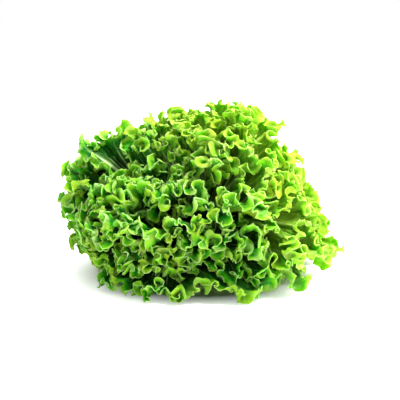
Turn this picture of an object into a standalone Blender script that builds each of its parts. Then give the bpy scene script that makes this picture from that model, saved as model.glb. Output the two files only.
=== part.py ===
"""A head of curly leaf lettuce, cut at the stem and resting on a table. Metres, +Z up.

The origin is on the table, under the middle of the head's box. Every leaf grows from one
crown in golden-angle order. A leaf is a sheet of two shares: v runs along its margin and s
runs from its root (0) to its margin (1). Each sheet lies on its own cone round the growing
axis, so leaves nest without touching, and its frill swings it to both sides of that cone.
The outermost leaves droop to the table all round and hide the cut stem.
"""

from math import pi, radians

import bmesh
import bpy
import numpy as np
from mathutils import Vector

# The whole head
OUTER_LEAVES = 13
MIDDLE_LEAVES = 13
HEART_LEAVES = 10
LEAF_COUNT = OUTER_LEAVES + MIDDLE_LEAVES + HEART_LEAVES
LEAF_REACH = 0.120
CROWN = Vector((0.0004, -0.0044, 0.034))
GOLDEN_ANGLE = radians(137.508)
FIRST_AZIMUTH = radians(248)

# How the growing axis leans toward the front left, and how low the outer leaves hang
LEAN = radians(41)
LEAN_HEADING = (-0.76, -0.65)
LOWEST_DIP = radians(-15)
WIDEST_OPENING = radians(113)
OPENING_BLEND = 10.0
SKIRT_FROM = 0.60
POLAR_SCALE = radians(98)

# Layers, counted from 1 on the outermost cone to 0 on the axis
OUTER_LAYER = 1.0
HEART_LAYER = 0.075
LAYER_POWER = 0.95
ROOT_GATHER = 0.80

# A leaf's plain outline, as shares of the leaf's reach
ROOT_SHARE = 0.155
ROOT_HALF_WIDTH = 0.066
OUTLINE_MIDDLE = 0.48
OUTLINE_HALF_LENGTH = 0.52
OUTLINE_END = radians(112)
LENGTH_SPREAD = (-0.10, 0.08)
WIDTH_SPREAD = (0.70, 0.84)
SIDE_LIMIT = radians(64)
LOBE_DEPTH = 0.050

# The frill, its swing given as a share of the layers
FRILL_WAVE = 0.026
FRILL_SWING = 0.0340
CALM_SIDES = (radians(20), radians(58))
CALM_SHARE = 0.78
HEART_SWING = 0.55
MOST_SWING = 1.3
HEART_LAYERS = 0.35
FRILL_START = 0.56
FRILL_SHARE = 0.50
FLARE_SHARE = 0.60
FLARE_DEPTH = 0.010
FRILL_LIFT = 0.0035
FLARE_DROP = 0.003

# Bulges and hollows of the head: direction, change of reach as a share, angular width
BULGES = (
    ((0.91, 0.00, -0.42), 0.12, 0.32),
    ((0.98, 0.00, 0.17), 0.10, 0.32),
    ((0.88, 0.00, 0.47), -0.03, 0.32),
    ((0.69, 0.00, 0.72), -0.04, 0.32),
    ((0.44, 0.00, 0.90), 0.11, 0.32),
    ((0.14, 0.00, 0.99), 0.03, 0.32),
    ((-0.47, 0.00, 0.88), 0.11, 0.32),
    ((-0.72, 0.00, 0.69), 0.16, 0.32),
    ((-0.90, 0.00, 0.44), 0.12, 0.32),
    ((-0.99, 0.00, 0.14), 0.10, 0.32),
    ((-0.98, 0.00, -0.17), -0.07, 0.32),
    ((-0.91, 0.00, -0.42), -0.04, 0.32),
    ((0.85, -0.45, -0.28), 0.14, 0.40),
    ((0.45, -0.80, -0.40), 0.12, 0.40),
    ((-0.45, -0.80, -0.40), 0.06, 0.40),
    ((-0.85, -0.45, -0.28), -0.08, 0.40),
    ((0.00, -1.00, -0.10), -0.13, 0.60),
)
HEART_HOLLOW = 0.46
HEART_WIDTH = 0.26
HEART_CURVE = 0.6

# Two still flows that carry neighbouring leaves together: step, steps, waves and seed
BROAD_FLOW = (0.022, 2, 5.0, 8.0, 5, 7)
FINE_FLOW = (0.010, 5, 16.0, 24.0, 6, 8)

# Blades
BLADE_THICKNESS = 0.0009
RIB_THICKNESS = 0.0025
RIB_SHARE = 0.45
ROWS = (0.0, 0.26, 0.50, 0.68, 0.82, 0.92, 1.0)

# How the two faces of a blade are set apart where it folds
OFFSET_TRIES = 40
OFFSET_PULL = 0.2
STEEPEST_FOLD = 0.6

# The table
FLOOR_SOFTNESS = 0.006
FLOOR_CLEARANCE = 0.0009

# The cut stem, a turned solid: radius and height of each ring
FOOT_RADIUS = 0.0165
FOOT_BEVEL = 0.0010
NECK_RADIUS = 0.0145
CROWN_RADIUS = 0.0150
CROWN_ARC_STEPS = 6
STUMP_SIDES = 28

LEAF_COLOURS = {
    "outer_leaf": (0.23, 0.52, 0.05, 1.0),
    "middle_leaf": (0.30, 0.60, 0.07, 1.0),
    "heart_leaf": (0.42, 0.68, 0.13, 1.0),
}
STUMP_COLOUR = (0.72, 0.76, 0.52, 1.0)


def clear_scene():
    for old in list(bpy.data.objects):
        bpy.data.objects.remove(old)


def make_collection(name):
    collection = bpy.data.collections.new(name)
    bpy.context.scene.collection.children.link(collection)
    return collection


def make_material(name, colour, roughness):
    material = bpy.data.materials.new(name)
    material.use_nodes = True
    shader = material.node_tree.nodes["Principled BSDF"]
    shader.inputs["Base Color"].default_value = colour
    shader.inputs["Roughness"].default_value = roughness
    shader.inputs["Metallic"].default_value = 0.0
    return material


def smooth(x):
    """Ease from 0 to 1."""
    x = np.clip(x, 0.0, 1.0)
    return x * x * (3 - 2 * x)


def wander(x, seed, pace):
    """Seeded smooth noise of about unit size along x: the sum of four sines."""
    rng = np.random.default_rng(seed)
    total = np.zeros_like(x)
    for harmonic in range(4):
        total += np.sin(x * pace * (0.6 + 0.5 * harmonic) + rng.uniform(0, 2 * pi))
    return total / 2


def head_axes():
    """Unit vectors forward, to the side, and up along the leaning axis."""
    heading = np.array(LEAN_HEADING) / np.hypot(*LEAN_HEADING)
    forward = np.array([*(heading * np.cos(LEAN)), -np.sin(LEAN)])
    upward = np.array([*(heading * np.sin(LEAN)), np.cos(LEAN)])
    return forward, np.cross(upward, forward), upward


def opening(azimuth, layer):
    """Polar angle of the outermost cone: down to the dip near the table, less where it is free."""
    lean_side = np.sin(LEAN) * np.cos(azimuth)
    length = np.hypot(np.cos(LEAN), lean_side)
    to_dip = np.arccos(np.sin(LOWEST_DIP) / length) - np.arctan2(lean_side, np.cos(LEAN))
    nearer = np.exp(-OPENING_BLEND * to_dip) + np.exp(-OPENING_BLEND * WIDEST_OPENING)
    upper = -np.log(nearer) / OPENING_BLEND
    return upper + (to_dip - upper) * smooth((layer - SKIRT_FROM) / (1 - SKIRT_FROM))


def carry(directions, strength, flow):
    """Carries directions over the sphere along a seeded flow that never makes paths cross."""
    _, steps, slowest, fastest, modes, seed = flow
    rng = np.random.default_rng(seed)
    for _ in range(steps):
        move = np.zeros_like(directions)
        for _ in range(modes):
            way = rng.normal(size=3)
            way /= np.linalg.norm(way)
            phase = directions @ way * rng.uniform(slowest, fastest) + rng.uniform(0, 2 * pi)
            move += np.cross(directions, np.cos(phase)[:, None] * way)
        directions = directions + strength[:, None] * move
        directions /= np.linalg.norm(directions, axis=1, keepdims=True)
    return directions


def reach_share(directions, layer, radius):
    """Reach of the head in each direction, with the heart lower than the leaves round it."""
    share = np.ones(len(directions))
    for toward, gain, width in BULGES:
        toward = np.array(toward) / np.linalg.norm(toward)
        share += gain * np.exp(-2 * (1 - directions @ toward) / width**2)
    return share - HEART_HOLLOW * radius**HEART_CURVE * np.exp(-((layer / HEART_WIDTH) ** 2))


class LeafPlan:
    """The seeded sizes of one leaf, and its margin measured along the plain outline."""

    def __init__(self, index):
        rng = np.random.default_rng(1000 + index)
        age = index / (LEAF_COUNT - 1)
        self.index = index
        self.layer = OUTER_LAYER + (HEART_LAYER - OUTER_LAYER) * age**LAYER_POWER
        self.azimuth = FIRST_AZIMUTH + index * GOLDEN_ANGLE
        self.length = 1 + rng.uniform(*LENGTH_SPREAD)
        self.width = self.length * rng.uniform(*WIDTH_SPREAD)
        self.girth = np.sin(self.layer * POLAR_SCALE)
        turn = np.linspace(-OUTLINE_END, OUTLINE_END, 600)
        across, along = self.outline(turn)
        self.spread = min(1 / self.girth, SIDE_LIMIT / np.max(np.arctan2(across, along)))
        squeeze = min(1.0, self.spread * self.girth)
        steps = np.hypot(np.diff(across * squeeze), np.diff(along))
        walked = np.concatenate([[0.0], np.cumsum(steps)])
        self.margin = walked[-1] * LEAF_REACH
        share = walked / walked[-1]
        bunching = 0.018 * wander(share, 50 + index, 9.0) * 4 * share * (1 - share)
        self.margin_table = share + bunching, turn
        self.waves = 2 * max(2, round(self.margin / FRILL_WAVE / 2))

    def outline(self, turn):
        across = self.width * np.sin(turn)
        along = self.length * (OUTLINE_MIDDLE + OUTLINE_HALF_LENGTH * np.cos(turn))
        return across, along


def leaf_sheet(plan, v, s):
    """Points of a leaf's sheet, in metres, at margin shares v and root-to-margin shares s."""
    turn = np.interp(v, *plan.margin_table)
    metres_along = v * plan.margin / 0.10
    lobes = 1 + LOBE_DEPTH * wander(metres_along, 30 + plan.index, 8.0)
    tip_across, tip_along = plan.outline(turn)
    tip_across, tip_along = tip_across * lobes, tip_along * lobes

    # Each column of the leaf is a curve that leaves the root upright and fans to the margin
    root_across = turn / OUTLINE_END * ROOT_HALF_WIDTH
    bend_along = (ROOT_SHARE + tip_along) / 2
    root_part, bend_part, tip_part = (1 - s) ** 2, 2 * s * (1 - s), s**2
    across = root_across * (root_part + 1.5 * bend_part) + tip_across * tip_part
    along = ROOT_SHARE * root_part + bend_along * bend_part + tip_along * tip_part
    radius = np.hypot(across, along)
    turned = np.arctan2(across, along) * plan.spread

    # The frill swings to and fro along the margin, and most at the very edge
    swing = 2 * pi * plan.waves * v
    to_margin = (1 - s) * (np.hypot(tip_across, tip_along) - ROOT_SHARE) * LEAF_REACH
    frilled = smooth((s - FRILL_START) / (1 - FRILL_START))
    flare = np.exp(-to_margin / FLARE_DEPTH) * (frilled > 0)
    ends = smooth(np.minimum(v, 1 - v) * plan.waves / 1.5)
    size = (1 + 0.30 * wander(metres_along, 90 + plan.index, 6.0)) * (0.35 + 0.65 * ends)
    calm_from, calm_to = CALM_SIDES
    size = size * (1 - CALM_SHARE * smooth((np.abs(turned) - calm_from) / (calm_to - calm_from)))
    size = size * (HEART_SWING + (1 - HEART_SWING) * smooth(plan.layer / HEART_LAYERS))
    size = size / (1 + (size / MOST_SWING) ** 6) ** (1 / 6)
    size = size * (FRILL_SHARE * frilled + FLARE_SHARE * flare) * (radius / 0.95) ** 0.3
    layer = plan.layer * (ROOT_GATHER + (1 - ROOT_GATHER) * smooth(radius))
    layer = layer + FRILL_SWING * size * np.cos(swing)
    lift = FRILL_LIFT * frilled * np.cos(2 * swing + 0.6) - FLARE_DROP * flare * np.abs(np.cos(swing))
    radius = radius + lift / LEAF_REACH

    azimuth = plan.azimuth + turned
    polar = layer * opening(azimuth, layer)
    forward, sideways, upward = head_axes()
    round_axis = np.cos(azimuth)[:, None] * forward + np.sin(azimuth)[:, None] * sideways
    directions = np.cos(polar)[:, None] * upward + np.sin(polar)[:, None] * round_axis
    directions = carry(directions, np.full(len(polar), BROAD_FLOW[0]), BROAD_FLOW)
    directions = carry(directions, FINE_FLOW[0] * smooth(radius * 1.1), FINE_FLOW)
    reach = LEAF_REACH * radius * reach_share(directions, layer, radius)
    return press_to_floor(np.array(CROWN) + reach[:, None] * directions)


def press_to_floor(points):
    """Eases points that would pass the table to a small height above it."""
    drop = FLOOR_SOFTNESS - FLOOR_CLEARANCE
    height = points[:, 2]
    eased = FLOOR_CLEARANCE + drop * np.exp(np.minimum(height - FLOOR_SOFTNESS, 0) / drop)
    points[:, 2] = np.where(height < FLOOR_SOFTNESS, eased, height)
    return points


def refine_rows(bm, from_row):
    """Doubles the columns of the flat grid from a row up to the margin."""
    edges = []
    for edge in bm.edges:
        first, second = (vertex.co for vertex in edge.verts)
        if abs(first.y - second.y) < 1e-6 and first.y > from_row - 1e-6:
            edges.append(edge)
    bmesh.ops.subdivide_edges(bm, edges=edges, cuts=1, use_grid_fill=True)


def flat_grid(columns):
    """A flat grid over v and s whose columns double twice toward the margin."""
    bm = bmesh.new()
    rows = len(ROWS) - 1
    bmesh.ops.create_grid(bm, x_segments=columns // 4, y_segments=rows, size=0.5)
    for vertex in bm.verts:
        row = round((vertex.co.y + 0.5) * rows)
        vertex.co = (vertex.co.x + 0.5, ROWS[row], 0)
    refine_rows(bm, ROWS[2])
    refine_rows(bm, ROWS[3])
    wide = [face for face in bm.faces if len(face.verts) > 4]
    bmesh.ops.triangulate(bm, faces=wide, ngon_method="BEAUTY")
    return bm


def blade_offset(vertex, thickness):
    """Half the blade at a vertex, along the way that leans least from any face round it."""
    normals = np.array([face.normal for face in vertex.link_faces])
    way = normals.mean(axis=0)
    for _ in range(OFFSET_TRIES):
        way = way + OFFSET_PULL * normals[np.argmin(normals @ way)]
        way = way / np.linalg.norm(way)
    return way * thickness / 2 / max(np.min(normals @ way), STEEPEST_FOLD)


def make_leaf(index, name, material, collection):
    """A leaf as a triangulated sheet, doubled and set apart into the two faces of a blade."""
    plan = LeafPlan(index)
    bm = flat_grid(2 * plan.waves)
    flat = np.array([vertex.co[:2] for vertex in bm.verts])
    for vertex, point in zip(bm.verts, leaf_sheet(plan, flat[:, 0], flat[:, 1])):
        vertex.co = point
    bmesh.ops.triangulate(bm, faces=bm.faces, quad_method="SHORT_EDGE")
    bm.normal_update()

    # The midrib is thickest at the root and thins out toward the sides and the margin
    off_middle = np.interp(flat[:, 0], *plan.margin_table) / OUTLINE_END / RIB_SHARE
    rib = np.exp(-(off_middle**2)) * (1 - flat[:, 1]) ** 2
    thickness = BLADE_THICKNESS + (RIB_THICKNESS - BLADE_THICKNESS) * rib
    sheet = list(bm.verts)
    offsets = [Vector(blade_offset(*pair)) for pair in zip(sheet, thickness)]
    doubled = bmesh.ops.extrude_face_region(bm, geom=bm.faces[:], use_keep_orig=True)
    offset_at = {tuple(vertex.co): offset for vertex, offset in zip(sheet, offsets)}
    for part in doubled["geom"]:
        if isinstance(part, bmesh.types.BMVert):
            part.co = part.co + offset_at[tuple(part.co)]
    for vertex, offset in zip(sheet, offsets):
        vertex.co = vertex.co - offset
    bmesh.ops.recalc_face_normals(bm, faces=bm.faces)

    mesh = bpy.data.meshes.new(name)
    bm.to_mesh(mesh)
    bm.free()
    mesh.materials.append(material)
    leaf = bpy.data.objects.new(name, mesh)
    collection.objects.link(leaf)
    return leaf


def make_stump(material, collection):
    """The cut stem and crown, turned from a profile that runs from the top to the cut face."""
    crown_height = CROWN.z
    profile = []
    for step in range(CROWN_ARC_STEPS + 1):
        angle = pi / 2 * (1 - step / CROWN_ARC_STEPS)
        profile.append((CROWN_RADIUS * np.cos(angle), crown_height + CROWN_RADIUS * np.sin(angle)))
    profile[0] = (0.0, profile[0][1])
    profile.append((NECK_RADIUS, crown_height / 2))
    profile.append((FOOT_RADIUS, FOOT_BEVEL))
    profile.append((FOOT_RADIUS - FOOT_BEVEL, 0.0))
    profile.append((0.0, 0.0))

    mesh = bpy.data.meshes.new("stump")
    points = [(radius, 0.0, height) for radius, height in profile]
    edges = [(number, number + 1) for number in range(len(points) - 1)]
    mesh.from_pydata(points, edges, [])
    mesh.materials.append(material)
    stump = bpy.data.objects.new("stump", mesh)
    stump.location = (CROWN.x, CROWN.y, 0)
    collection.objects.link(stump)
    turned = stump.modifiers.new("turned", "SCREW")
    turned.steps = STUMP_SIDES
    turned.render_steps = STUMP_SIDES
    turned.use_merge_vertices = True
    turned.merge_threshold = 0.00001
    return stump


def make_head():
    collection = make_collection("curly_lettuce_head")
    kinds = (
        ("outer_leaf", OUTER_LEAVES),
        ("middle_leaf", MIDDLE_LEAVES),
        ("heart_leaf", HEART_LEAVES),
    )
    index = 0
    for kind, count in kinds:
        material = make_material(kind, LEAF_COLOURS[kind], 0.45)
        for number in range(count):
            make_leaf(index, f"{kind}_{number + 1:02d}", material, collection)
            index += 1
    make_stump(make_material("stump", STUMP_COLOUR, 0.6), collection)


clear_scene()
make_head()
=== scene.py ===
"""A head of curly leaf lettuce on a white table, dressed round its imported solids. Metres, +Z up.

Every leaf is one sheet of two shares: v runs along the margin and s from the root (0) to the
margin (1). The solids show that sheet coarsely. Here the same sheet is worked out about every
millimetre along the margin, which is curled into lips and ruffles, and it becomes a thin closed
blade. Nothing keeps a curl clear of its neighbours, so fine curls may pass through each other.
"""

from math import pi, radians

import bpy
import numpy as np
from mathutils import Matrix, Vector


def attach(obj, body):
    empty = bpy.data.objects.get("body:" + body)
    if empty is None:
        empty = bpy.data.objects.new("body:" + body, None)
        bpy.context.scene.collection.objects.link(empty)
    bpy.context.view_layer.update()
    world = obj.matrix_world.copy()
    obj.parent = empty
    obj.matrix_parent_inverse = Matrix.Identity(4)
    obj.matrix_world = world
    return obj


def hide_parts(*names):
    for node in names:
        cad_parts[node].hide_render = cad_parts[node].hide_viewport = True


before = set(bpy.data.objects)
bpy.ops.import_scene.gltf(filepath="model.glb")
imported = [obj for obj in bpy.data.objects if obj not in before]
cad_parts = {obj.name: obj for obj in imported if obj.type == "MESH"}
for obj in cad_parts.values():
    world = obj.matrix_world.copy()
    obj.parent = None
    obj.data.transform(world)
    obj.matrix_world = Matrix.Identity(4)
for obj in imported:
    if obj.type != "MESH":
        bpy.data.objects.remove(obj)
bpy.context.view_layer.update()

# The head, as in its solids
LEAF_KINDS = (("outer_leaf", 13), ("middle_leaf", 13), ("heart_leaf", 10))
LEAF_COUNT = sum(count for _, count in LEAF_KINDS)
LEAF_REACH = 0.120
CROWN = np.array((0.0004, -0.0044, 0.034))
GOLDEN_ANGLE = radians(137.508)
FIRST_AZIMUTH = radians(248)
LEAN = radians(41)
LEAN_HEADING = (-0.76, -0.65)
LOWEST_DIP = radians(-15)
WIDEST_OPENING = radians(113)
OPENING_BLEND = 10.0
SKIRT_FROM = 0.60
POLAR_SCALE = radians(98)
OUTER_LAYER = 1.0
HEART_LAYER = 0.075
LAYER_POWER = 0.95
ROOT_GATHER = 0.80

# The wandering waves: the length that counts as one, their paces, and first seeds for each use
WANDER_LENGTH = 0.10
WANDER_PACES = (0.6, 1.1, 1.6, 2.1)
PLAN_SEED = 1000
LOBE_SEED = 30
BUNCH_SEED = 50
SWING_SEED = 90
PHASE_SEED = 100
BLISTER_SEED = 7000
TOOTH_PHASE_SEED = 8000
TOOTH_SIZE_SEED = 8100

# A leaf's plain outline, as shares of its reach
ROOT_SHARE = 0.155
ROOT_HALF_WIDTH = 0.066
OUTLINE_MIDDLE = 0.48
OUTLINE_HALF_LENGTH = 0.52
OUTLINE_END = radians(112)
LENGTH_SPREAD = (-0.10, 0.08)
WIDTH_SPREAD = (0.70, 0.84)
SIDE_LIMIT = radians(64)
OUTLINE_POINTS = 600
LOBE_DEPTH = 0.050
LOBE_PACE = 8.0
COLUMN_FLARE = 1.5
BUNCH_DEPTH = 0.018
BUNCH_PACE = 9.0

# The broad frill that the solids have too
FRILL_WAVE = 0.026
FRILL_SWING = 0.0340
CALM_SIDES = (radians(20), radians(58))
CALM_SHARE = 0.78
HEART_SWING = 0.55
MOST_SWING = 1.3
HEART_LAYERS = 0.35
FRILL_START = 0.56
FRILL_SHARE = 0.50
FLARE_SHARE = 0.60
FLARE_DEPTH = 0.010
FRILL_LIFT = 0.0035
LIFT_PHASE = 0.6
FLARE_DROP = 0.003
SWING_UNREST = 0.30
SWING_PACE = 6.0
END_SWING = 0.35
END_WAVES = 1.5
LIMIT_POWER = 6
FULL_RADIUS = 0.95
RADIUS_POWER = 0.3

# Bulges and hollows of the head: direction, change of reach as a share, angular width
BULGES = (
    ((0.91, 0.00, -0.42), 0.12, 0.32),
    ((0.98, 0.00, 0.17), 0.10, 0.32),
    ((0.88, 0.00, 0.47), -0.03, 0.32),
    ((0.69, 0.00, 0.72), -0.04, 0.32),
    ((0.44, 0.00, 0.90), 0.11, 0.32),
    ((0.14, 0.00, 0.99), 0.03, 0.32),
    ((-0.47, 0.00, 0.88), 0.11, 0.32),
    ((-0.72, 0.00, 0.69), 0.16, 0.32),
    ((-0.90, 0.00, 0.44), 0.12, 0.32),
    ((-0.99, 0.00, 0.14), 0.10, 0.32),
    ((-0.98, 0.00, -0.17), -0.07, 0.32),
    ((-0.91, 0.00, -0.42), -0.04, 0.32),
    ((0.85, -0.45, -0.28), 0.14, 0.40),
    ((0.45, -0.80, -0.40), 0.12, 0.40),
    ((-0.45, -0.80, -0.40), 0.06, 0.40),
    ((-0.85, -0.45, -0.28), -0.08, 0.40),
    ((0.00, -1.00, -0.10), -0.13, 0.60),
)
HEART_HOLLOW = 0.46
HEART_WIDTH = 0.26
HEART_CURVE = 0.6

# Two still flows that carry neighbours together: step, steps, slowest and fastest wave, waves, seed
BROAD_FLOW = (0.022, 2, 5.0, 8.0, 5, 7)
FINE_FLOW = (0.010, 5, 16.0, 24.0, 6, 8)
FLOW_REACH = 1.1

# How leaves settle on the table
FLOOR_SOFTNESS = 0.006
FLOOR_CLEARANCE = 0.0009

# Curls of the margin: wave, most turn, depth from the margin, seed, pace of unrest, and its share
CURLS = (
    (0.0210, radians(80), 0.0140, 1505, 9.0, 0.45),
    (0.0088, radians(60), 0.0068, 600, 18.0, 0.85),
    (0.0044, radians(50), 0.0034, 900, 34.0, 0.80),
)
CURL_LEAN = 0.12
CURL_DRIFT = 1.4
MOST_TURN = radians(105)

# Notches at the very margin
TOOTH_WAVE = 0.0050
TOOTH_DEPTH = 0.0018
TOOTH_FADE = 0.0018
TOOTH_DRIFT = 2.0
TOOTH_SIZE = 0.6
TOOTH_UNREST = 0.5
TOOTH_PHASE_PACE = 30.0
TOOTH_SIZE_PACE = 22.0

# Blisters of the blade
BLISTER_SIZE = 0.0085
BLISTER_HEIGHT = 0.00045
BLISTER_WAVES = 5
BLISTER_PACES = (0.7, 1.3)
BLISTER_FADE = 0.06

# The mesh of a leaf: steps along the margin, rows next to it in millimetres, and rows further in
MILLIMETRES = 1000
MARGIN_PROBES = 1500
MARGIN_STEP = 0.00082
MARGIN_ROWS = (0.8, 0.9, 1.0, 1.2, 1.4, 1.7, 2.0, 2.5, 3.0, 4.0)
SHEET_DEPTH = 0.8 * LEAF_REACH
INNER_ROWS = 12
INNER_SPACING = 1.15

# How often each row's columns are halved, and how far apart the last row's columns are
THINNING = (0,) * 11 + (1,) * 4 + (2,) * 4 + (3,) * 4
WIDEST_STRIDE = 2 ** THINNING[-1]

# Blades. A width is that at the margin, what the root adds, and the power of its taper
BLADE_THICKNESS = 0.0005
RIB_THICKNESS = 0.0024
RIB_WIDTH = (0.0014, 0.0070, 1.4)
RIB_FADE = 0.25
RIB_TAPER = 0.8
VEIN_THICKNESS = 0.0005
VEIN_WIDTH = (0.0006, 0.0022, 1.3)
VEIN_START = 0.004
VEIN_FADE = 0.02
VEIN_MARK = 0.8
VEIN_PLACES = (-0.78, -0.58, -0.41, -0.27, -0.14, 0.14, 0.27, 0.41, 0.58, 0.78)

# Length of every leaf's margin in its UV map
MAP_LENGTH = 0.36


def smooth(x):
    """Ease from 0 to 1."""
    x = np.clip(x, 0.0, 1.0)
    return x * x * (3 - 2 * x)


def wander(x, seed, pace):
    """Seeded smooth noise of about unit size along x: half the sum of four sines."""
    rng = np.random.default_rng(seed)
    total = np.zeros_like(x)
    for share in WANDER_PACES:
        total += np.sin(x * pace * share + rng.uniform(0, 2 * pi))
    return total / 2


def head_axes():
    """Unit vectors forward, to the side, and up along the leaning axis."""
    heading = np.array(LEAN_HEADING) / np.hypot(*LEAN_HEADING)
    forward = np.array([*(heading * np.cos(LEAN)), -np.sin(LEAN)])
    upward = np.array([*(heading * np.sin(LEAN)), np.cos(LEAN)])
    return forward, np.cross(upward, forward), upward


def opening(azimuth, layer):
    """Polar angle of the outermost cone.

    It is a soft minimum of the angle down to the dip near the table and of the widest opening.
    The skirt, which is the outermost layers, eases from it to the dip itself.
    """
    lean_side = np.sin(LEAN) * np.cos(azimuth)
    length = np.hypot(np.cos(LEAN), lean_side)
    to_dip = np.arccos(np.sin(LOWEST_DIP) / length) - np.arctan2(lean_side, np.cos(LEAN))
    nearer = np.exp(-OPENING_BLEND * to_dip) + np.exp(-OPENING_BLEND * WIDEST_OPENING)
    upper = -np.log(nearer) / OPENING_BLEND
    return upper + (to_dip - upper) * smooth((layer - SKIRT_FROM) / (1 - SKIRT_FROM))


def carry(directions, strength, flow):
    """Carries directions over the sphere in small steps, so that neighbours bend together.

    A step is the sum of seeded waves, each the cosine of its phase times the cross product of
    the direction and the wave's own.
    """
    _, steps, slowest, fastest, modes, seed = flow
    rng = np.random.default_rng(seed)
    for _ in range(steps):
        move = np.zeros_like(directions)
        for _ in range(modes):
            way = rng.normal(size=3)
            way /= np.linalg.norm(way)
            phase = directions @ way * rng.uniform(slowest, fastest) + rng.uniform(0, 2 * pi)
            move += np.cross(directions, np.cos(phase)[:, None] * way)
        directions = directions + strength[:, None] * move
        directions /= np.linalg.norm(directions, axis=1, keepdims=True)
    return directions


def reach_share(directions, layer, radius):
    """Reach of the head in each direction, with the heart lower than the leaves round it.

    Bulges and hollows are bell curves of the angle from their own direction, added to one.
    """
    share = np.ones(len(directions))
    for toward, gain, width in BULGES:
        toward = np.array(toward) / np.linalg.norm(toward)
        share += gain * np.exp(-2 * (1 - directions @ toward) / width**2)
    return share - HEART_HOLLOW * radius**HEART_CURVE * np.exp(-((layer / HEART_WIDTH) ** 2))


class LeafPlan:
    """The seeded sizes of one leaf, and its margin measured along the plain outline."""

    def __init__(self, index):
        rng = np.random.default_rng(PLAN_SEED + index)
        age = index / (LEAF_COUNT - 1)
        self.index = index
        self.layer = OUTER_LAYER + (HEART_LAYER - OUTER_LAYER) * age**LAYER_POWER
        self.azimuth = FIRST_AZIMUTH + index * GOLDEN_ANGLE
        self.length = 1 + rng.uniform(*LENGTH_SPREAD)
        self.width = self.length * rng.uniform(*WIDTH_SPREAD)
        self.girth = np.sin(self.layer * POLAR_SCALE)
        turn = np.linspace(-OUTLINE_END, OUTLINE_END, OUTLINE_POINTS)
        across, along = self.outline(turn)
        self.spread = min(1 / self.girth, SIDE_LIMIT / np.max(np.arctan2(across, along)))
        squeeze = min(1.0, self.spread * self.girth)
        steps = np.hypot(np.diff(across * squeeze), np.diff(along))
        walked = np.concatenate([[0.0], np.cumsum(steps)])
        self.margin = walked[-1] * LEAF_REACH
        share = walked / walked[-1]
        bunching = BUNCH_DEPTH * wander(share, BUNCH_SEED + index, BUNCH_PACE) * 4 * share * (1 - share)
        self.margin_table = share + bunching, turn
        self.waves = 2 * max(2, round(self.margin / FRILL_WAVE / 2))

    def outline(self, turn):
        """Across by the sine of the turn, and along by its cosine, as on an ellipse."""
        across = self.width * np.sin(turn)
        along = self.length * (OUTLINE_MIDDLE + OUTLINE_HALF_LENGTH * np.cos(turn))
        return across, along


def leaf_sheet(plan, v, s):
    """Points of a leaf's sheet, in metres, at margin shares v and root-to-margin shares s.

    A column of the sheet is a bent curve from the root to the plain outline. Its reach is the
    distance from the crown and its turn the angle from the leaf's middle. Layer times opening
    is the angle from the growing axis, and the frill swings the layer by a cosine of v.
    """
    turn = np.interp(v, *plan.margin_table)
    walked = v * plan.margin / WANDER_LENGTH
    lobes = 1 + LOBE_DEPTH * wander(walked, LOBE_SEED + plan.index, LOBE_PACE)
    tip_across, tip_along = plan.outline(turn)
    tip_across, tip_along = tip_across * lobes, tip_along * lobes

    # Each column of the leaf is a curve that leaves the root upright and fans to the margin
    root_across = turn / OUTLINE_END * ROOT_HALF_WIDTH
    bend_along = (ROOT_SHARE + tip_along) / 2
    root_part, bend_part, tip_part = (1 - s) ** 2, 2 * s * (1 - s), s**2
    across = root_across * (root_part + COLUMN_FLARE * bend_part) + tip_across * tip_part
    along = ROOT_SHARE * root_part + bend_along * bend_part + tip_along * tip_part
    radius = np.hypot(across, along)
    turned = np.arctan2(across, along) * plan.spread

    # The frill swings to and fro along the margin, and most at the very edge
    swing = 2 * pi * plan.waves * v
    to_margin = (1 - s) * (np.hypot(tip_across, tip_along) - ROOT_SHARE) * LEAF_REACH
    frilled = smooth((s - FRILL_START) / (1 - FRILL_START))
    flare = np.exp(-to_margin / FLARE_DEPTH) * (frilled > 0)
    ends = smooth(np.minimum(v, 1 - v) * plan.waves / END_WAVES)
    unrest = SWING_UNREST * wander(walked, SWING_SEED + plan.index, SWING_PACE)
    size = (1 + unrest) * (END_SWING + (1 - END_SWING) * ends)
    calm_from, calm_to = CALM_SIDES
    size = size * (1 - CALM_SHARE * smooth((np.abs(turned) - calm_from) / (calm_to - calm_from)))
    size = size * (HEART_SWING + (1 - HEART_SWING) * smooth(plan.layer / HEART_LAYERS))
    size = size / (1 + (size / MOST_SWING) ** LIMIT_POWER) ** (1 / LIMIT_POWER)
    outward = (radius / FULL_RADIUS) ** RADIUS_POWER
    size = size * (FRILL_SHARE * frilled + FLARE_SHARE * flare) * outward
    layer = plan.layer * (ROOT_GATHER + (1 - ROOT_GATHER) * smooth(radius))
    layer = layer + FRILL_SWING * size * np.cos(swing)
    lift = FRILL_LIFT * frilled * np.cos(2 * swing + LIFT_PHASE)
    lift = lift - FLARE_DROP * flare * np.abs(np.cos(swing))
    radius = radius + lift / LEAF_REACH

    azimuth = plan.azimuth + turned
    polar = layer * opening(azimuth, layer)
    forward, sideways, upward = head_axes()
    round_axis = np.cos(azimuth)[:, None] * forward + np.sin(azimuth)[:, None] * sideways
    directions = np.cos(polar)[:, None] * upward + np.sin(polar)[:, None] * round_axis
    directions = carry(directions, np.full(len(polar), BROAD_FLOW[0]), BROAD_FLOW)
    directions = carry(directions, FINE_FLOW[0] * smooth(radius * FLOW_REACH), FINE_FLOW)
    reach = LEAF_REACH * radius * reach_share(directions, layer, radius)
    return press_to_floor(CROWN + reach[:, None] * directions)


def press_to_floor(points):
    """Eases points near the table to a small height above it, by an exponential of their height."""
    drop = FLOOR_SOFTNESS - FLOOR_CLEARANCE
    height = points[..., 2]
    eased = FLOOR_CLEARANCE + drop * np.exp(np.minimum(height - FLOOR_SOFTNESS, 0) / drop)
    points[..., 2] = np.where(height < FLOOR_SOFTNESS, eased, height)
    return points


def unit(vectors):
    """Vectors of length one along the given ones."""
    return vectors / np.maximum(np.linalg.norm(vectors, axis=-1, keepdims=True), 1e-12)


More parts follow.
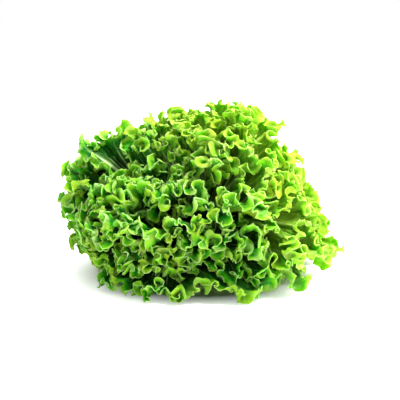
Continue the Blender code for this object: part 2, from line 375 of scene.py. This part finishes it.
def grid_normals(points):
    """Normals of a grid of points: the cross product of its steps one way and the other."""
    return unit(np.cross(np.gradient(points, axis=0), np.gradient(points, axis=1)))


def curl(points, away, walked, index, wave, turn, depth, seed, pace, unrest):
    """Curls a grid's margin to and fro by a cosine of the distance along it.

    Each step toward the margin is turned about the margin's own direction. The turn grows evenly
    from the depth to the margin, so the lip bends to an arc. A small lean along the margin, a
    sine of twice the phase, rounds the folds.
    """
    normals = grid_normals(points)
    along = unit(np.gradient(points, axis=0))
    pace_along = walked / WANDER_LENGTH
    size = 1 + unrest * wander(pace_along, seed + index, pace)
    drift = CURL_DRIFT * wander(pace_along, seed + PHASE_SEED + index, pace)
    phase = walked / wave * 2 * pi + drift
    fade = np.clip(1 - away / depth, 0, 1)
    bend = np.minimum(turn * size, MOST_TURN) * np.cos(phase)
    angle = (bend[:, None] * (fade[:, :-1] + fade[:, 1:]) / 2)[..., None]
    step = points[:, :-1] - points[:, 1:]
    across = unit(normals[:, :-1] + normals[:, 1:]) * np.linalg.norm(step, axis=-1, keepdims=True)
    turned = np.cos(angle) * step + np.sin(angle) * across
    moved = points[:, -1:] + np.cumsum(turned[:, ::-1], axis=1)[:, ::-1]
    lean = (CURL_LEAN * wave * np.sin(2 * phase))[:, None] * smooth(fade)
    return np.concatenate([moved, points[:, -1:]], axis=1) + along * lean[..., None]


def blister(points, away, walked, index):
    """Raises and sinks the blade in soft cells: the sum of sine waves in seeded directions."""
    rng = np.random.default_rng(BLISTER_SEED + index)
    far, near = walked[:, None] / BLISTER_SIZE, away / BLISTER_SIZE
    height = np.zeros_like(away)
    for _ in range(BLISTER_WAVES):
        angle = rng.uniform(0, 2 * pi)
        pace = 2 * pi * rng.uniform(*BLISTER_PACES)
        wave = pace * (far * np.cos(angle) + near * np.sin(angle))
        height += np.sin(wave + rng.uniform(0, 2 * pi))
    calm = smooth(1 - away / BLISTER_FADE)
    return points + grid_normals(points) * (BLISTER_HEIGHT * calm * height)[..., None]


def tooth(points, away, walked, index):
    """Draws the very margin in by small rounded notches: a raised cosine of the distance along it."""
    inward = unit(np.gradient(points, axis=1))
    pace_along = walked / WANDER_LENGTH
    drift = TOOTH_DRIFT * wander(pace_along, TOOTH_PHASE_SEED + index, TOOTH_PHASE_PACE)
    phase = walked / TOOTH_WAVE * 2 * pi + drift
    unrest = TOOTH_UNREST * wander(pace_along, TOOTH_SIZE_SEED + index, TOOTH_SIZE_PACE)
    size = TOOTH_DEPTH * (TOOTH_SIZE + unrest)
    notch = size * (0.5 + 0.5 * np.cos(phase))
    return points + inward * (notch[:, None] * np.exp(-away / TOOTH_FADE))[..., None]


def fine_leaf(index):
    """A leaf's ruffled grid of points, with the distance from its margin and from its midrib."""
    plan = LeafPlan(index)
    probe = np.linspace(0, 1, MARGIN_PROBES)
    edge = leaf_sheet(plan, probe, np.ones_like(probe))
    steps = np.linalg.norm(np.diff(edge, axis=0), axis=1)
    walked = np.concatenate([[0.0], np.cumsum(steps)])
    columns = int(walked[-1] / MARGIN_STEP / WIDEST_STRIDE + 1) * WIDEST_STRIDE
    v = np.interp(np.linspace(0, walked[-1], columns + 1), walked, probe)
    walked = np.linspace(0, walked[-1], columns + 1)
    near = np.concatenate([[0.0], np.cumsum(MARGIN_ROWS)]) / MILLIMETRES / SHEET_DEPTH
    inner = near[-1] + (1 - near[-1]) * np.linspace(0, 1, INNER_ROWS + 1)[1:] ** INNER_SPACING
    s = 1 - np.concatenate([near, inner])
    v_grid, s_grid = np.meshgrid(v, s, indexing="ij")
    points = leaf_sheet(plan, v_grid.ravel(), s_grid.ravel()).reshape(v_grid.shape + (3,))
    steps = np.linalg.norm(np.diff(points, axis=1), axis=-1)
    away = np.pad(np.cumsum(steps, axis=1), ((0, 0), (1, 0)))
    away = (away + away.mean(axis=0)) / 2
    for sizes in CURLS:
        points = curl(points, away, walked, index, *sizes)
    points = blister(points, away, walked, index)
    points = tooth(points, away, walked, index)
    across = np.interp(v, *plan.margin_table) / OUTLINE_END
    return press_to_floor(points), away, across, s, v


def off_column(points, across, place):
    """Distance along each row from the column at one share across the leaf."""
    column = np.argmin(np.abs(across - place))
    steps = np.linalg.norm(np.diff(points, axis=0), axis=-1)
    walked = np.pad(np.cumsum(steps, axis=0), ((1, 0), (0, 0)))
    return np.abs(walked - walked[column])


def thinned_grid(shape):
    """Which points of a grid are kept, and its faces as quads and triangles of kept points.

    The first rows keep every column. Further from the margin every second, fourth and eighth
    column stays, and between two such rows each wide face becomes three triangles.
    """
    rows = shape[1]
    keep = np.zeros(shape, bool)
    for row in range(rows):
        keep[:: 2 ** THINNING[row], row] = True
    number = np.full(shape, -1)
    number[keep] = np.arange(keep.sum())
    quads, triangles = [], []
    for row in range(rows - 1):
        stride = 2 ** THINNING[row + 1]
        upper, lower = number[::stride, row], number[::stride, row + 1]
        if THINNING[row] == THINNING[row + 1]:
            quads.append(np.stack([upper[:-1], upper[1:], lower[1:], lower[:-1]], -1))
        else:
            middle = number[stride // 2 :: stride, row]
            triangles.append(np.stack([upper[:-1], middle, lower[:-1]], -1))
            triangles.append(np.stack([middle, lower[1:], lower[:-1]], -1))
            triangles.append(np.stack([middle, upper[1:], lower[1:]], -1))
    stride = 2 ** THINNING[rows - 1]
    ring = [number[:, 0], number[-1, 1:], number[::-stride, -1][1:], number[0, rows - 2 : 0 : -1]]
    return keep, np.concatenate(quads), np.concatenate(triangles), np.concatenate(ring)


def blade(points, thickness):
    """Closes a sheet into a blade: both faces half the thickness off the grid, and a rim."""
    keep, quads, triangles, ring = thinned_grid(points.shape[:2])
    count = keep.sum()
    offset = (grid_normals(points) * thickness[..., None] / 2)[keep]
    middle = points[keep]
    vertices = np.concatenate([middle + offset, middle - offset])
    onward = np.roll(ring, -1)
    rim = np.stack([onward, ring, ring + count, onward + count], -1)
    squares = np.concatenate([quads, quads[:, ::-1] + count, rim])
    corners = np.concatenate([triangles, triangles[:, ::-1] + count])
    return vertices, squares.tolist() + corners.tolist(), keep


def mesh_object(name, vertices, faces, material, attributes=()):
    """An object at the origin with a smooth mesh and a number at each vertex for each attribute."""
    mesh = bpy.data.meshes.new(name)
    mesh.from_pydata(vertices.tolist(), [], faces)
    mesh.shade_smooth()
    for label, values in dict(attributes).items():
        layer = mesh.attributes.new(label, "FLOAT", "POINT")
        layer.data.foreach_set("value", values.astype(np.float32))
    mesh.materials.append(material)
    piece = bpy.data.objects.new(name, mesh)
    bpy.context.scene.collection.objects.link(piece)
    return piece


def leaf_map(mesh, along, outward):
    """Lays the leaf flat in its UV map: along its margin, and from its root outwards."""
    corner = np.empty(len(mesh.loops), np.int32)
    mesh.loops.foreach_get("vertex_index", corner)
    flat = np.stack([along, outward], -1)[corner]
    mesh.uv_layers.new(name="leaf").data.foreach_set("uv", flat.ravel().astype(np.float32))


def taper(size, inward):
    """A width at the margin, plus what the root adds by a power of the share inward."""
    at_margin, added, power = size
    return at_margin + added * inward**power


def make_leaf(index, node, material):
    """One leaf as a blade, thicker by a bell curve of the distance from its midrib and veins."""
    points, away, across, s, v = fine_leaf(index)
    off_rib = off_column(points, across, 0.0)
    rib = np.exp(-((off_rib / taper(RIB_WIDTH, 1 - s)) ** 2)) * smooth((1 - s) / RIB_FADE)
    veins = np.zeros_like(away)
    for place in VEIN_PLACES:
        off_vein = off_column(points, across, place)
        veins = np.maximum(veins, np.exp(-((off_vein / taper(VEIN_WIDTH, 1 - s)) ** 2)))
    veins = veins * smooth((away - VEIN_START) / VEIN_FADE)
    root = np.broadcast_to(1 - s, away.shape)
    thickness = BLADE_THICKNESS + RIB_THICKNESS * rib * (1 - s) ** RIB_TAPER + VEIN_THICKNESS * veins
    vertices, faces, keep = blade(points, thickness)
    marks = {"away": away, "rib": np.maximum(rib, VEIN_MARK * veins), "root": root}
    marks = {label: np.tile(values[keep], 2) for label, values in marks.items()}
    marks["under"] = np.repeat((0.0, 1.0), keep.sum())
    piece = mesh_object("frilled_" + node, vertices, faces, material, marks)
    along = np.broadcast_to(v[:, None] * MAP_LENGTH, away.shape)[keep]
    outward = np.broadcast_to(s * LEAF_REACH, away.shape)[keep]
    leaf_map(piece.data, np.tile(along, 2), np.tile(outward, 2))
    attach(piece, "root")
    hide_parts(node)
    return piece


# The cut stem, from the crown down to the cut face
STEM_PROFILE = (
    (0.0060, 0.0515), (0.0115, 0.0490), (0.0160, 0.0440), (0.0180, 0.0380), (0.0182, 0.0330),
    (0.0168, 0.0270), (0.0152, 0.0200), (0.0150, 0.0130), (0.0156, 0.0060), (0.0163, 0.0020),
    (0.0163, 0.0007), (0.0155, 0.0000), (0.0120, 0.0001), (0.0080, 0.0002), (0.0040, 0.0001),
)
STEM_TOP = 0.0522
STEM_FOOT = 0.0001
STEM_SIDES = 96
STEM_RIDGE = 0.0005
RIDGE_WAVES = ((0.6, 9, 1.0), (0.4, 23, 0.0), (0.3, 37, 2.0))
RIDGE_START = 0.001
RIDGE_FADE = 0.006


def make_stump(material):
    """The stem turned from its profile. Sines of the turn raise ridges that fade at the cut face."""
    turn = np.linspace(0, 2 * pi, STEM_SIDES, endpoint=False)
    radius, height = np.array(STEM_PROFILE).T
    ridges = sum(size * np.sin(count * turn + start) for size, count, start in RIDGE_WAVES)
    ridge = STEM_RIDGE * ridges[:, None] * smooth((height - RIDGE_START) / RIDGE_FADE)
    across = radius + ridge
    ring = np.stack([
        CROWN[0] + across * np.cos(turn)[:, None],
        CROWN[1] + across * np.sin(turn)[:, None],
        np.broadcast_to(height, across.shape),
    ], -1)
    poles = np.array([(CROWN[0], CROWN[1], STEM_TOP), (CROWN[0], CROWN[1], STEM_FOOT)])
    vertices = np.concatenate([ring.reshape(-1, 3), poles])
    rows = len(radius)
    number = np.arange(STEM_SIDES * rows).reshape(STEM_SIDES, rows)
    onward = np.roll(number, -1, axis=0)
    walls = np.stack([number[:, :-1], number[:, 1:], onward[:, 1:], onward[:, :-1]], -1)
    top, foot = STEM_SIDES * rows, STEM_SIDES * rows + 1
    cap = np.stack([np.full(STEM_SIDES, top), number[:, 0], onward[:, 0]], -1)
    cut = np.stack([np.full(STEM_SIDES, foot), onward[:, -1], number[:, -1]], -1)
    faces = walls.reshape(-1, 4).tolist() + cap.tolist() + cut.tolist()
    piece = mesh_object("cut_stem", vertices, faces, material)
    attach(piece, "root")
    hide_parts("stump")
    return piece


# Tints of the margin and of the upper right side, which is painted light, and where that side starts
# and is full
YELLOW = (0.45, 0.59, 0.025, 1.0)
PAINTED_LIGHT_SIDE = (0.75, 0.35, 0.60)
PAINTED_LIGHT_REACH = (0.025, 0.110)
PAINTED_LIGHT_TINT = (1.52, 1.09, 1.00, 1.0)
PAINTED_LIGHT_GREEN = (0.44, 0.70, 0.035, 1.0)
PAINTED_LIGHT_SHARE = 0.55

# Noises of a leaf: their scale, and the levels that they are spread between
NOISE_LEVELS = (0.3, 0.7)
ZONE_NOISE = 110.0
STREAK_SCALE = (520.0, 70.0, 1.0)
STREAK_LEVELS = (0.46, 0.66)
PAINTED_HIGHLIGHT_NOISE = 95.0
PAINTED_HIGHLIGHT_LEVELS = (0.53, 0.68)
PATCH_NOISE = 26.0
PATCH_LEVELS = (0.42, 0.68, 0.0, 0.12)
YELLOW_NOISE = 48.0
YELLOW_LEVELS = (0.46, 0.62)
NET_WAVE = 90.0
NET_BEND = 0.012
NET_SCALE = (170.0, 60.0, 1.0)
NET_LEVELS = (0.02, 0.16, 1.0, 0.0)
WAX_NOISE = 420.0
CRINKLE_NOISE = 330.0

# A leaf's colours from the margin inwards: full depth, places as shares of it, and their unrest
# The rim is partly painted highlight, and deep inside the colours darken to near black as painted shade
# where leaves lie under others
ZONE_DEPTH = 0.050
ZONE_STOPS = (0.0, 0.016, 0.05, 0.10, 0.18, 0.6)
ZONE_UNREST = (0.50, 1.60)

# Where other marks fade: from and to in metres off the margin, and the strength at each
OUTER_ZONE = (0.003, 0.010, 0.30, 0.03)
STREAK_ZONE = (0.001, 0.008, 0.5, 0.0)
PAINTED_HIGHLIGHT_ZONE = (0.001, 0.007, 0.8, 0.0)
YELLOW_ZONE = (0.003, 0.010, 0.65, 0.0)
LIGHT_ZONE = (0.004, 0.018, 1.0, 0.45)

# Strengths of a leaf's pale parts, its wax, and the light that comes through
NET_SHARE = 0.10
RIB_SHARE = 0.85
ROOT_PALE = (0.55, 0.95, 0.0, 0.85)
WAX_ROUGHNESS = (0.38, 0.56)
WAX_SHINE = 0.10
LIGHT_AT_RIBS = (0.0, 1.0, 0.42, 0.18)
GLOW_SHARE = 0.45

# Reliefs: strength and depth
CRINKLE_RELIEF = {"Strength": 0.60, "Distance": 0.0010}
STREAK_RELIEF = {"Strength": 0.60, "Distance": 0.0009}
NET_RELIEF = {"Strength": 0.30, "Distance": 0.0004}
FIBRE_RELIEF = {"Strength": 0.5, "Distance": 0.0005}

# The stem's colours: rings of the cut face from the middle out, its browning, and its sides
STEM_RADIUS = 0.0163
STEM_RINGS = (
    (0.0, (0.78, 0.80, 0.58)), (0.45, (0.80, 0.82, 0.62)), (0.58, (0.50, 0.56, 0.28)),
    (0.70, (0.74, 0.78, 0.54)), (0.90, (0.58, 0.66, 0.34)), (1.0, (0.46, 0.58, 0.22)),
)
STEM_BROWN = (0.42, 0.22, 0.09, 1)
BROWN_NOISE = 240.0
BROWN_LEVELS = (0.50, 0.70, 0.0, 0.65)
STEM_SIDE_TONES = ((0.50, 0.62, 0.26, 1), (0.78, 0.82, 0.56, 1))
FIBRE_SCALE = (900.0, 900.0, 60.0)
CUT_TO_SIDE = (0.0008, 0.0030)
STEM_ROUGHNESS = (0.35, 0.6)


class Finish:
    """A material under construction: add() makes a node, its inputs values or other sockets."""

    def __init__(self, name):
        self.material = bpy.data.materials.new(name)
        self.material.use_nodes = True
        self.tree = self.material.node_tree
        self.shader = self.tree.nodes["Principled BSDF"]
        self.output = self.tree.nodes["Material Output"]

    def put(self, socket, value):
        if isinstance(value, bpy.types.NodeSocket):
            self.tree.links.new(value, socket)
        else:
            socket.default_value = value

    def add(self, kind, inputs=(), output=0, **settings):
        node = self.tree.nodes.new("ShaderNode" + kind)
        for name, value in settings.items():
            setattr(node, name, value)
        for key, value in dict(inputs).items():
            self.put(node.inputs[key], value)
        return node.outputs[output]

    def attribute(self, name):
        return self.add("Attribute", attribute_name=name, output="Fac")

    def spread(self, value, low, high, start=0.0, end=1.0):
        """Maps values between low and high to between start and end, and holds them beyond."""
        places = {"From Min": low, "From Max": high, "To Min": start, "To Max": end}
        return self.add("MapRange", {"Value": value, **places})

    def ramp(self, value, stops):
        socket = self.add("ValToRGB", {"Fac": value})
        elements = socket.node.color_ramp.elements
        for place, colour in stops[1:-1]:
            elements.new(place).color = (*colour, 1)
        for element, (place, colour) in ((elements[0], stops[0]), (elements[-1], stops[-1])):
            element.position = place
            element.color = (*colour, 1)
        return socket

    def noise(self, place, scale, detail, output=0):
        return self.add("TexNoise", {"Vector": place, "Scale": scale, "Detail": detail}, output)

    def blend(self, share, first, second, kind="MIX"):
        inputs = {0: share, 6: first, 7: second}
        return self.add("Mix", inputs, output=2, data_type="RGBA", blend_type=kind)

    def multiply(self, first, second):
        return self.add("Math", {0: first, 1: second}, operation="MULTIPLY")


def leaf_finish(name, rim, lip, face, blade_colour, deep_shade, dark_shade, pale, glow):
    """Waxy frilled leaf: pale rim and bright lip that are partly painted highlight, a blade darkened
    inwards by painted shade, pale ribs, net of veins, painted light on the upper right, glow.
    """
    finish = Finish(name)
    away, rib, root, under = map(finish.attribute, ("away", "rib", "root", "under"))
    place = finish.add("TexCoord", output="Object")
    flat = finish.add("UVMap", uv_map="leaf")

    # Colour from the margin inwards, along a boundary that wanders: the pale rim is partly painted
    # highlight, and the blade darkens inwards by painted shade
    unrest = finish.noise(place, ZONE_NOISE, 3.0)
    uneven = finish.multiply(away, finish.spread(unrest, *NOISE_LEVELS, *ZONE_UNREST))
    inward = finish.spread(uneven, 0.0, ZONE_DEPTH)
    colours = (rim, lip, face, blade_colour, deep_shade, dark_shade)
    colour = finish.ramp(inward, tuple(zip(ZONE_STOPS, colours)))

    # The outer face of a leaf is nearer to the lip's colour, most at the margin
    outer = finish.blend(finish.spread(away, *OUTER_ZONE), colour, (*lip, 1))
    colour = finish.blend(under, colour, outer)

    # Yellow-green streaks across the lips, and painted highlights as pale spots at the very margin
    streaked = finish.add("Mapping", {"Vector": flat, "Scale": STREAK_SCALE})
    streaks = finish.noise(streaked, 1.0, 2.0)
    share = finish.multiply(finish.spread(streaks, *STREAK_LEVELS), finish.spread(away, *STREAK_ZONE))
    colour = finish.blend(share, colour, (*lip, 1))
    highlight_noise = finish.noise(place, PAINTED_HIGHLIGHT_NOISE, 3.0)
    share = finish.multiply(finish.spread(highlight_noise, *PAINTED_HIGHLIGHT_LEVELS), finish.spread(away, *PAINTED_HIGHLIGHT_ZONE))
    colour = finish.blend(share, colour, (*rim, 1))

    # Slow patches of lighter green, and of yellow along the margin
    patches = finish.noise(place, PATCH_NOISE, 3.0)
    colour = finish.blend(finish.spread(patches, *PATCH_LEVELS), colour, (*face, 1))
    yellowed = finish.noise(place, YELLOW_NOISE, 4.0)
    share = finish.multiply(finish.spread(yellowed, *YELLOW_LEVELS), finish.spread(away, *YELLOW_ZONE))
    colour = finish.blend(share, colour, YELLOW)

    # A net of fine veins that runs out to the margin
    wavy = finish.noise(flat, NET_WAVE, 2.0, "Color")
    bent = finish.add("MixRGB", {0: NET_BEND, 1: flat, 2: wavy}, blend_type="ADD")
    long_way = finish.add("Mapping", {"Vector": bent, "Scale": NET_SCALE})
    cells = finish.add(
        "TexVoronoi", {"Vector": long_way, "Scale": 1.0}, output="Distance",
        feature="DISTANCE_TO_EDGE", voronoi_dimensions="2D",
    )
    net = finish.spread(cells, *NET_LEVELS)
    colour = finish.blend(finish.multiply(net, NET_SHARE), colour, (*lip, 1))

    # Ribs and the foot of the leaf are pale
    colour = finish.blend(finish.multiply(rib, RIB_SHARE), colour, (*pale, 1))
    colour = finish.blend(finish.spread(root, *ROOT_PALE), colour, (*pale, 1))

    # Painted light: the upper right of the head is made lighter and yellower, as where the lamps fall
    toward_painted_light = finish.add(
        "VectorMath", {0: place, 1: PAINTED_LIGHT_SIDE}, output="Value", operation="DOT_PRODUCT"
    )
    painted_light_share = finish.spread(toward_painted_light, *PAINTED_LIGHT_REACH)
    colour = finish.blend(painted_light_share, colour, finish.blend(1.0, colour, PAINTED_LIGHT_TINT, kind="MULTIPLY"))
    colour = finish.blend(finish.multiply(painted_light_share, PAINTED_LIGHT_SHARE), colour, PAINTED_LIGHT_GREEN)
    finish.put(finish.shader.inputs["Base Color"], colour)

    # Wax
    speckle = finish.noise(place, WAX_NOISE, 3.0)
    roughness = finish.spread(speckle, *NOISE_LEVELS, *WAX_ROUGHNESS)
    finish.put(finish.shader.inputs["Roughness"], roughness)
    finish.shader.inputs["Specular IOR Level"].default_value = WAX_SHINE

    # Relief of fine crinkles, of the streaks, and of the net of veins
    crinkle = finish.noise(place, CRINKLE_NOISE, 2.0)
    relief = finish.add("Bump", {**CRINKLE_RELIEF, "Height": crinkle})
    relief = finish.add("Bump", {**STREAK_RELIEF, "Height": streaks, "Normal": relief})
    relief = finish.add("Bump", {**NET_RELIEF, "Height": net, "Normal": relief})
    finish.put(finish.shader.inputs["Normal"], relief)

    # Light that comes through the thin blade
    through = finish.blend(GLOW_SHARE, colour, (*glow, 1))
    lit = finish.add("BsdfTranslucent", {"Color": through, "Normal": relief})
    share = finish.multiply(finish.spread(rib, *LIGHT_AT_RIBS), finish.spread(away, *LIGHT_ZONE))
    mixed = finish.add("MixShader", {0: share, 1: finish.shader.outputs[0], 2: lit})
    finish.put(finish.output.inputs["Surface"], mixed)
    return finish.material


def stem_finish():
    """Cut stem: pale green sides, a cut face with rings and a little browning."""
    finish = Finish("cut_stem")
    place = finish.add("TexCoord", output="Object")
    centred = finish.add("Mapping", {"Vector": place, "Location": (-CROWN[0], -CROWN[1], 0.0)})
    split = finish.add("SeparateXYZ", {"Vector": centred}, output="Z")
    flat = finish.add("CombineXYZ", {"X": split.node.outputs["X"], "Y": split.node.outputs["Y"]})
    from_axis = finish.add("VectorMath", {0: flat}, output="Value", operation="LENGTH")
    cut = finish.ramp(finish.spread(from_axis, 0.0, STEM_RADIUS), STEM_RINGS)
    cloud = finish.noise(place, BROWN_NOISE, 5.0)
    cut = finish.blend(finish.spread(cloud, *BROWN_LEVELS), cut, STEM_BROWN)
    stretched = finish.add("Mapping", {"Vector": place, "Scale": FIBRE_SCALE})
    fibre = finish.noise(stretched, 1.0, 4.0)
    side = finish.blend(fibre, *STEM_SIDE_TONES)
    height = finish.spread(split, *CUT_TO_SIDE)
    finish.put(finish.shader.inputs["Base Color"], finish.blend(height, cut, side))
    roughness = finish.spread(cloud, *NOISE_LEVELS, *STEM_ROUGHNESS)
    finish.put(finish.shader.inputs["Roughness"], roughness)
    relief = finish.add("Bump", {**FIBRE_RELIEF, "Height": fibre})
    finish.put(finish.shader.inputs["Normal"], relief)
    return finish.material


# Leaf colours: rim, lip, its face, blade, deep inside, dark, ribs, and the light that comes through
# Rim and lip are partly painted highlight; deep inside and dark are painted shade
LEAF_COLOURS = {
    "outer_leaf": (
        (0.64, 0.85, 0.40), (0.38, 0.68, 0.035), (0.12, 0.54, 0.004), (0.004, 0.30, 0.006),
        (0.0001, 0.11, 0.010), (0.0001, 0.025, 0.003), (0.52, 0.77, 0.24), (0.03, 0.78, 0.001),
    ),
    "middle_leaf": (
        (0.66, 0.86, 0.42), (0.40, 0.70, 0.040), (0.14, 0.56, 0.005), (0.006, 0.32, 0.006),
        (0.0002, 0.13, 0.010), (0.0001, 0.035, 0.003), (0.55, 0.79, 0.28), (0.04, 0.80, 0.001),
    ),
    "heart_leaf": (
        (0.68, 0.87, 0.44), (0.44, 0.73, 0.055), (0.18, 0.59, 0.008), (0.016, 0.37, 0.007),
        (0.0010, 0.17, 0.010), (0.0004, 0.060, 0.004), (0.61, 0.82, 0.38), (0.08, 0.82, 0.002),
    ),
}


def make_head():
    index = 0
    for slot, count in LEAF_KINDS:
        material = leaf_finish(slot + "_finish", *LEAF_COLOURS[slot])
        for number in range(count):
            make_leaf(index, f"{slot}_{number + 1:02d}", material)
            index += 1
    make_stump(stem_finish())


# The table: it glows more the further it is from the head, so that it ends in white
FLOOR_SIZE = 60.0
FLOOR_COLOUR = (0.90, 0.90, 0.90, 1)
FLOOR_NOISE = 900.0
FLOOR_ROUGHNESS = (0.55, 0.65)
GLOW_REACH = (0.085, 0.130)
FLOOR_GLOW = 1.0
WHITE = (1.0, 1.0, 1.0, 1)

# Lamps: name, place, size and power
LIGHT_AIM = Vector((0.0, 0.0, 0.08))
LAMPS = (
    ("key", (0.42, -0.08, 1.15), 0.45, 36),
    ("back", (1.05, 0.60, 0.90), 0.70, 48),
)

# The room's light from low to high: those heights as shares, and its strength at each
ROOM_LIGHT = (-0.2, 1.0, 0.18, 0.72)

# The camera
CAMERA_TARGET = Vector((0.0004, 0.0, 0.0665))
CAMERA_ELEVATION = radians(11)
CAMERA_DISTANCE = 0.87
LENS_LENGTH = 85
SENSOR_WIDTH = 36


def make_floor():
    half = FLOOR_SIZE / 2
    corners = np.array([(-half, -half, 0.0), (half, -half, 0.0), (half, half, 0.0), (-half, half, 0.0)])
    finish = Finish("white_table")
    paper = finish.add("TexNoise", {"Scale": FLOOR_NOISE})
    roughness = finish.spread(paper, *NOISE_LEVELS, *FLOOR_ROUGHNESS)
    finish.put(finish.shader.inputs["Roughness"], roughness)
    finish.shader.inputs["Base Color"].default_value = FLOOR_COLOUR
    finish.shader.inputs["Emission Color"].default_value = WHITE
    place = finish.add("TexCoord", output="Object")
    distance = finish.add("VectorMath", {0: place}, output="Value", operation="LENGTH")
    glow = finish.spread(distance, *GLOW_REACH, 0.0, FLOOR_GLOW)
    finish.put(finish.shader.inputs["Emission Strength"], glow)
    mesh_object("floor", corners, [(0, 1, 2, 3)], finish.material)


def make_light(name, place, size, power):
    lamp = bpy.data.lights.new(name, "AREA")
    lamp.energy = power
    lamp.size = size
    holder = bpy.data.objects.new(name, lamp)
    holder.location = place
    holder.rotation_euler = (LIGHT_AIM - holder.location).to_track_quat("-Z", "Y").to_euler()
    bpy.context.scene.collection.objects.link(holder)


def make_room():
    """A room that the camera sees white, and whose light is soft from above and faint from below."""
    room = bpy.data.worlds.new("white_room")
    bpy.context.scene.world = room
    room.use_nodes = True
    nodes, links = room.node_tree.nodes, room.node_tree.links
    way = nodes.new("ShaderNodeTexCoord")
    height = nodes.new("ShaderNodeSeparateXYZ")
    light = nodes.new("ShaderNodeMapRange")
    seen = nodes.new("ShaderNodeLightPath")
    strength = nodes.new("ShaderNodeMath")
    strength.operation = "MAXIMUM"
    for name, value in zip(("From Min", "From Max", "To Min", "To Max"), ROOM_LIGHT):
        light.inputs[name].default_value = value
    links.new(way.outputs["Generated"], height.inputs[0])
    links.new(height.outputs["Z"], light.inputs["Value"])
    links.new(light.outputs["Result"], strength.inputs[0])
    links.new(seen.outputs["Is Camera Ray"], strength.inputs[1])
    sky = nodes["Background"]
    sky.inputs["Color"].default_value = WHITE
    links.new(strength.outputs[0], sky.inputs["Strength"])


def make_studio():
    make_floor()
    make_room()
    for lamp in LAMPS:
        make_light(*lamp)
    bpy.context.scene.view_settings.view_transform = "Standard"


def make_camera():
    lens = bpy.data.cameras.new("photo_view")
    lens.lens = LENS_LENGTH
    lens.sensor_width = SENSOR_WIDTH
    camera = bpy.data.objects.new("photo_view", lens)
    back = Vector((0.0, -np.cos(CAMERA_ELEVATION), np.sin(CAMERA_ELEVATION)))
    camera.location = CAMERA_TARGET + back * CAMERA_DISTANCE
    camera.rotation_euler = (-back).to_track_quat("-Z", "Y").to_euler()
    bpy.context.scene.collection.objects.link(camera)
    bpy.context.scene.camera = camera


make_head()
make_studio()
make_camera()
